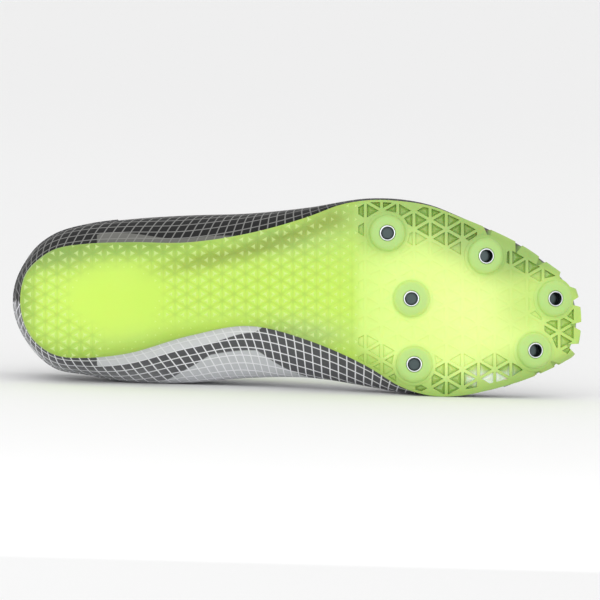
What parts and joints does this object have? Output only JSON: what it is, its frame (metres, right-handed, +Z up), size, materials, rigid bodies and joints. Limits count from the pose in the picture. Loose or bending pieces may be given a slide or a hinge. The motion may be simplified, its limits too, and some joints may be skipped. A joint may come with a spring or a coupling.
{
  "type": "track spike shoe",
  "caption": "Right-foot sprint shoe lying on its medial side: thin translucent sole with truss ribs, spike bosses with empty steel sockets and a toothed toe, under a laced ripstop upper",
  "frame": {"origin": "bottom centre of the bounding box, on the floor the shoe lies on", "axes": "+X towards the toe, -Y out of the sole, +Z up from the floor to the lateral side"},
  "size_m": [0.2806, 0.0984, 0.0957],
  "materials": {
    "tpu_plate": "frosted translucent lime",
    "socket_steel": "bright turned steel",
    "ripstop": "grey ripstop weave with white grid threads",
    "insole_foam": "black knit over foam",
    "tongue_mesh": "dark grey mesh",
    "lace_cord": "flat lime braid"
  },
  "bodies": {
    "root": {"insole": "insole_foam", "laces": "lace_cord", "outsole": "tpu_plate", "spike_socket_ball_centre": "socket_steel", "spike_socket_ball_lateral": "socket_steel", "spike_socket_ball_medial": "socket_steel", "spike_socket_toe_lateral": "socket_steel", "spike_socket_toe_medial": "socket_steel", "spike_socket_toe_tip": "socket_steel", "tongue": "tongue_mesh", "upper": "ripstop"}
  },
  "joints": []
}
